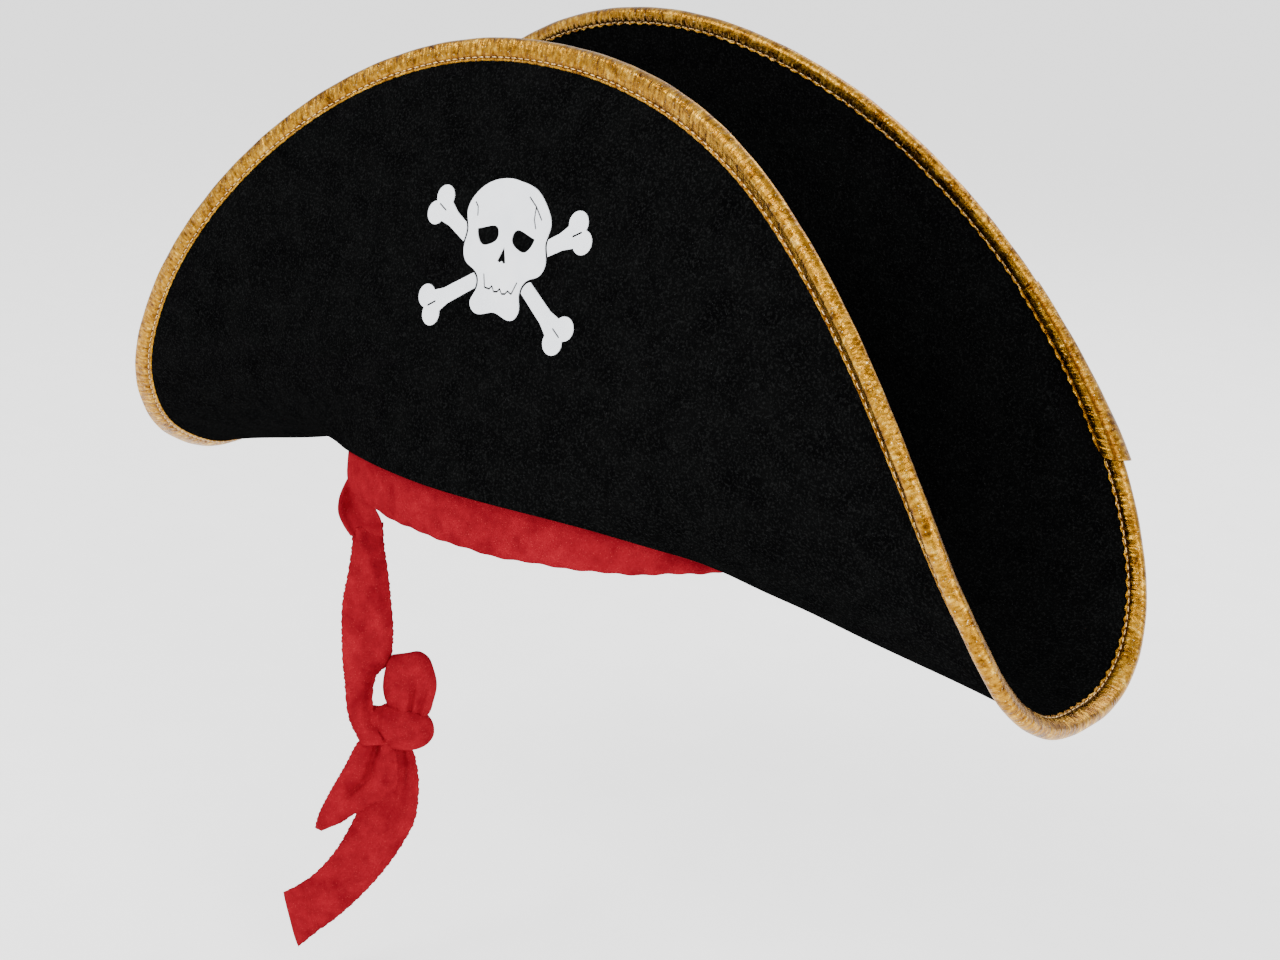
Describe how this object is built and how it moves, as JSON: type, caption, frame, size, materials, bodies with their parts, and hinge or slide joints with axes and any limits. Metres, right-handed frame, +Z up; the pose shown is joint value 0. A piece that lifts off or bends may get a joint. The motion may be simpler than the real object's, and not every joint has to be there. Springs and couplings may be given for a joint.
{
  "type": "pirate hat",
  "caption": "Black velour bicorne pirate hat with a gold bound brim, a printed skull and crossed bones on the front flap, and a red headband with a hanging knotted tie.",
  "frame": {"origin": "middle of the head opening, at the height of the fold between the front flap and the headband", "axes": "+Z up out of the crown, -Y to the front flap with the print, +X towards the wearer's left horn"},
  "size_m": [0.4711, 0.1518, 0.4177],
  "materials": {
    "black_velour": "short pile velour, matt, faint grey fibre specks",
    "foam": "soft foam interlining",
    "gold_tape": "gold lame binding tape with fine cross ribs and glints",
    "gold_thread": "gold sewing thread",
    "black_lining": "plain woven black lining",
    "black_thread": "black sewing thread",
    "white_print": "smooth satin heat-transfer film",
    "red_velour": "short pile red velour, fuzzy edges",
    "red_thread": "red sewing thread"
  },
  "bodies": {
    "hat": {"brim_outer_velour": "black_velour", "brim_inner_velour": "black_velour", "brim_foam_core": "foam", "edge_binding": "gold_tape", "binding_lap_end": "gold_tape", "binding_stitching": "gold_thread", "crown_wall_front": "black_velour", "crown_wall_back": "black_velour", "crown_tip": "black_velour", "crown_wall_lining": "black_lining", "crown_tip_lining": "black_lining", "sweatband": "black_lining", "sweatband_stitching": "black_thread", "flap_tacks": "black_thread", "skull_print": "white_print", "bone_print_upper_left": "white_print", "bone_print_upper_right": "white_print", "bone_print_lower_left": "white_print", "bone_print_lower_right": "white_print", "headband": "red_velour", "tie_root": "red_velour", "tie_tacks": "red_thread"},
    "tie_fold": {"tie_fold": "red_velour"},
    "tie": {"tie_strap": "red_velour", "tie_bow_loop": "red_velour", "tie_knot": "red_velour"},
    "short_tail": {"short_tail": "red_velour"},
    "long_tail": {"long_tail": "red_velour", "long_tail_hem": "red_velour"}
  },
  "joints": [
    {"name": "tie_swing_out", "type": "hinge", "parent": "hat", "child": "tie_fold", "pos_m": [-0.07865, -0.0458, -0.0258], "axis": [0.6327, -0.7744, 0], "range_deg": [-50, 15]},
    {"name": "tie_swing_along", "type": "hinge", "parent": "tie_fold", "child": "tie", "pos_m": [-0.07555, -0.04326, -0.0466], "axis": [0.7744, 0.6327, 0], "range_deg": [-40, 40]},
    {"name": "short_tail_swing", "type": "hinge", "parent": "tie", "child": "short_tail", "pos_m": [-0.0709, -0.03947, -0.1464], "axis": [0.6327, -0.7744, 0], "range_deg": [-40, 30]},
    {"name": "long_tail_swing", "type": "hinge", "parent": "tie", "child": "long_tail", "pos_m": [-0.06316, -0.03314, -0.1476], "axis": [0.6327, -0.7744, 0], "range_deg": [-40, 40]}
  ]
}
